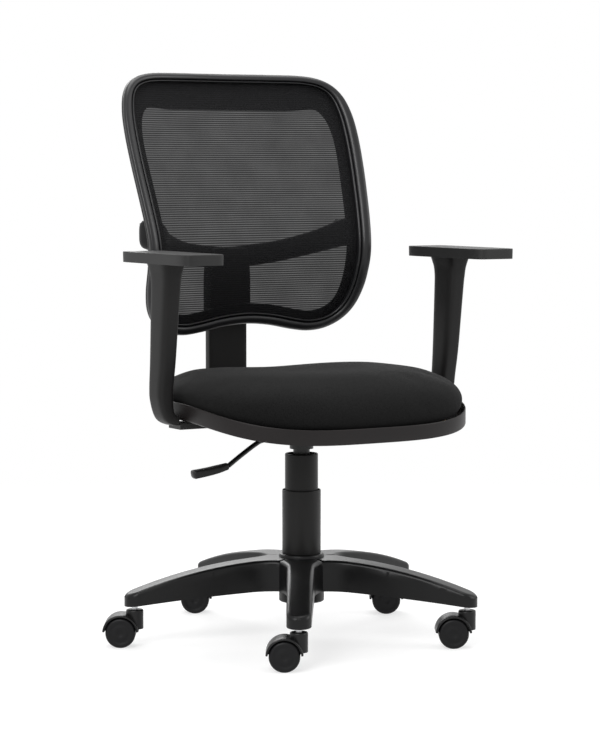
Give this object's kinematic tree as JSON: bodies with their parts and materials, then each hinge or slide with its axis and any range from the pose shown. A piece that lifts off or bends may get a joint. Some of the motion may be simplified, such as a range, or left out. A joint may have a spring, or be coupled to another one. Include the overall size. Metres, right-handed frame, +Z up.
{
  "type": "swivel office chair",
  "caption": "Swivel office chair with a mesh back in a plastic frame, padded fabric seat, T-shaped arms, gas-lift column and star base on twin-wheel casters.",
  "frame": {"origin": "on the floor, on the axis of the gas column", "axes": "+Z up; the sitter faces -Y; the sitter's left is +X"},
  "size_m": [0.6526, 0.6041, 0.9554],
  "materials": {
    "base_plastic": "fine-grained black nylon with satin highlights",
    "caster_plastic": "satin black moulded nylon",
    "wheel_plastic": "hard black wheel, rubbed at the tread",
    "black_steel": "black powder coat",
    "bright_steel": "zinc-plated steel",
    "pale_plastic": "unfilled acetal",
    "cover_plastic": "satin black polypropylene",
    "shell_plastic": "satin black shell with a warm cast",
    "plywood": "raw pressed plywood",
    "seat_fabric": "fine black knit over foam",
    "mesh_fabric": "open black mesh with fine horizontal lines",
    "rim_plastic": "satin black moulded rim",
    "frame_plastic": "fine-grained black polypropylene",
    "arm_plastic": "fine-grained black polypropylene",
    "pad_plastic": "soft-touch dark grey polyurethane"
  },
  "bodies": {
    "base": {"base_star": "base_plastic", "gas_lift_tube": "black_steel", "tube_guide_bush": "pale_plastic", "thrust_bearing": "bright_steel", "column_cover_lower": "cover_plastic"},
    "cover": {"column_cover_upper": "cover_plastic"},
    "piston": {"piston_rod": "bright_steel"},
    "lift": {"gas_lift_cylinder": "black_steel", "mechanism_housing": "black_steel", "seat_plate": "black_steel", "seat_bolts": "bright_steel", "seat_board": "plywood", "seat_shell": "shell_plastic", "seat_cushion": "seat_fabric", "back_bar": "black_steel", "back_bar_cover": "cover_plastic", "back_bar_bolts": "bright_steel", "arm_bracket_right": "black_steel", "arm_bracket_left": "black_steel", "arm_post_right": "arm_plastic", "arm_post_left": "arm_plastic", "arm_pad_right": "pad_plastic", "arm_pad_left": "pad_plastic", "arm_bolts": "bright_steel"},
    "release": {"release_pin": "bright_steel"},
    "lever": {"lever_rod": "black_steel", "lever_paddle": "cover_plastic"},
    "back": {"back_rim": "rim_plastic", "back_mesh": "mesh_fabric", "back_frame": "frame_plastic", "back_yoke": "frame_plastic", "yoke_screws": "bright_steel", "back_catch": "pale_plastic"},
    "caster_1": {"caster_1_hood": "caster_plastic", "caster_1_pins": "bright_steel"},
    "caster_1_roller_a": {"caster_1_wheel_a": "wheel_plastic"},
    "caster_1_roller_b": {"caster_1_wheel_b": "wheel_plastic"},
    "caster_2": {"caster_2_hood": "caster_plastic", "caster_2_pins": "bright_steel"},
    "caster_2_roller_a": {"caster_2_wheel_a": "wheel_plastic"},
    "caster_2_roller_b": {"caster_2_wheel_b": "wheel_plastic"},
    "caster_3": {"caster_3_hood": "caster_plastic", "caster_3_pins": "bright_steel"},
    "caster_3_roller_a": {"caster_3_wheel_a": "wheel_plastic"},
    "caster_3_roller_b": {"caster_3_wheel_b": "wheel_plastic"},
    "caster_4": {"caster_4_hood": "caster_plastic", "caster_4_pins": "bright_steel"},
    "caster_4_roller_a": {"caster_4_wheel_a": "wheel_plastic"},
    "caster_4_roller_b": {"caster_4_wheel_b": "wheel_plastic"},
    "caster_5": {"caster_5_hood": "caster_plastic", "caster_5_pins": "bright_steel"},
    "caster_5_roller_a": {"caster_5_wheel_a": "wheel_plastic"},
    "caster_5_roller_b": {"caster_5_wheel_b": "wheel_plastic"}
  },
  "joints": [
    {"name": "cover_slide", "type": "slide", "parent": "base", "child": "cover", "axis": [0, 0, 1], "range_m": [-0.025, 0]},
    {"name": "column_swivel", "type": "hinge", "parent": "base", "child": "piston", "pos_m": [0, 0, 0.08], "axis": [0, 0, 1], "continuous": true},
    {"name": "gas_lift", "type": "slide", "parent": "piston", "child": "lift", "axis": [0, 0, 1], "range_m": [0, 0.1]},
    {"name": "release_press", "type": "slide", "parent": "lift", "child": "release", "axis": [0, 0, 1], "range_m": [-0.004, 0]},
    {"name": "lever_lift", "type": "hinge", "parent": "lift", "child": "lever", "pos_m": [-0.059, -0.062, 0.349], "axis": [0, 1, 0], "range_deg": [0, 3.8]},
    {"name": "back_height", "type": "slide", "parent": "lift", "child": "back", "axis": [0, 0, 1], "range_m": [0, 0.06]},
    {"name": "caster_1_swivel", "type": "hinge", "parent": "base", "child": "caster_1", "pos_m": [-0.15229, -0.24562, 0.06], "axis": [0, 0, 1], "continuous": true},
    {"name": "caster_1_spin_a", "type": "hinge", "parent": "caster_1", "child": "caster_1_roller_a", "pos_m": [-0.17175, -0.23393, 0.025], "axis": [0.515, 0.8572, 0], "continuous": true},
    {"name": "caster_1_spin_b", "type": "hinge", "parent": "caster_1", "child": "caster_1_roller_b", "pos_m": [-0.17175, -0.23393, 0.025], "axis": [0.515, 0.8572, 0], "continuous": true},
    {"name": "caster_2_swivel", "type": "hinge", "parent": "base", "child": "caster_2", "pos_m": [0.18654, -0.22074, 0.06], "axis": [0, 0, 1], "continuous": true},
    {"name": "caster_2_spin_a", "type": "hinge", "parent": "caster_2", "child": "caster_2_roller_a", "pos_m": [0.16708, -0.20905, 0.025], "axis": [0.515, 0.8572, 0], "continuous": true},
    {"name": "caster_2_spin_b", "type": "hinge", "parent": "caster_2", "child": "caster_2_roller_b", "pos_m": [0.16708, -0.20905, 0.025], "axis": [0.515, 0.8572, 0], "continuous": true},
    {"name": "caster_3_swivel", "type": "hinge", "parent": "base", "child": "caster_3", "pos_m": [0.26758, 0.1092, 0.06], "axis": [0, 0, 1], "continuous": true},
    {"name": "caster_3_spin_a", "type": "hinge", "parent": "caster_3", "child": "caster_3_roller_a", "pos_m": [0.24812, 0.12089, 0.025], "axis": [0.515, 0.8572, 0], "continuous": true},
    {"name": "caster_3_spin_b", "type": "hinge", "parent": "caster_3", "child": "caster_3_roller_b", "pos_m": [0.24812, 0.12089, 0.025], "axis": [0.515, 0.8572, 0], "continuous": true},
    {"name": "caster_4_swivel", "type": "hinge", "parent": "base", "child": "caster_4", "pos_m": [-0.02117, 0.28822, 0.06], "axis": [0, 0, 1], "continuous": true},
    {"name": "caster_4_spin_a", "type": "hinge", "parent": "caster_4", "child": "caster_4_roller_a", "pos_m": [-0.04062, 0.29991, 0.025], "axis": [0.515, 0.8572, 0], "continuous": true},
    {"name": "caster_4_spin_b", "type": "hinge", "parent": "caster_4", "child": "caster_4_roller_b", "pos_m": [-0.04062, 0.29991, 0.025], "axis": [0.515, 0.8572, 0], "continuous": true},
    {"name": "caster_5_swivel", "type": "hinge", "parent": "base", "child": "caster_5", "pos_m": [-0.28066, 0.06894, 0.06], "axis": [0, 0, 1], "continuous": true},
    {"name": "caster_5_spin_a", "type": "hinge", "parent": "caster_5", "child": "caster_5_roller_a", "pos_m": [-0.30012, 0.08063, 0.025], "axis": [0.515, 0.8572, 0], "continuous": true},
    {"name": "caster_5_spin_b", "type": "hinge", "parent": "caster_5", "child": "caster_5_roller_b", "pos_m": [-0.30012, 0.08063, 0.025], "axis": [0.515, 0.8572, 0], "continuous": true}
  ],
  "couplings": [
    {"joint": "release_press", "follows": "lever_lift", "m_per_rad": -0.059}
  ]
}
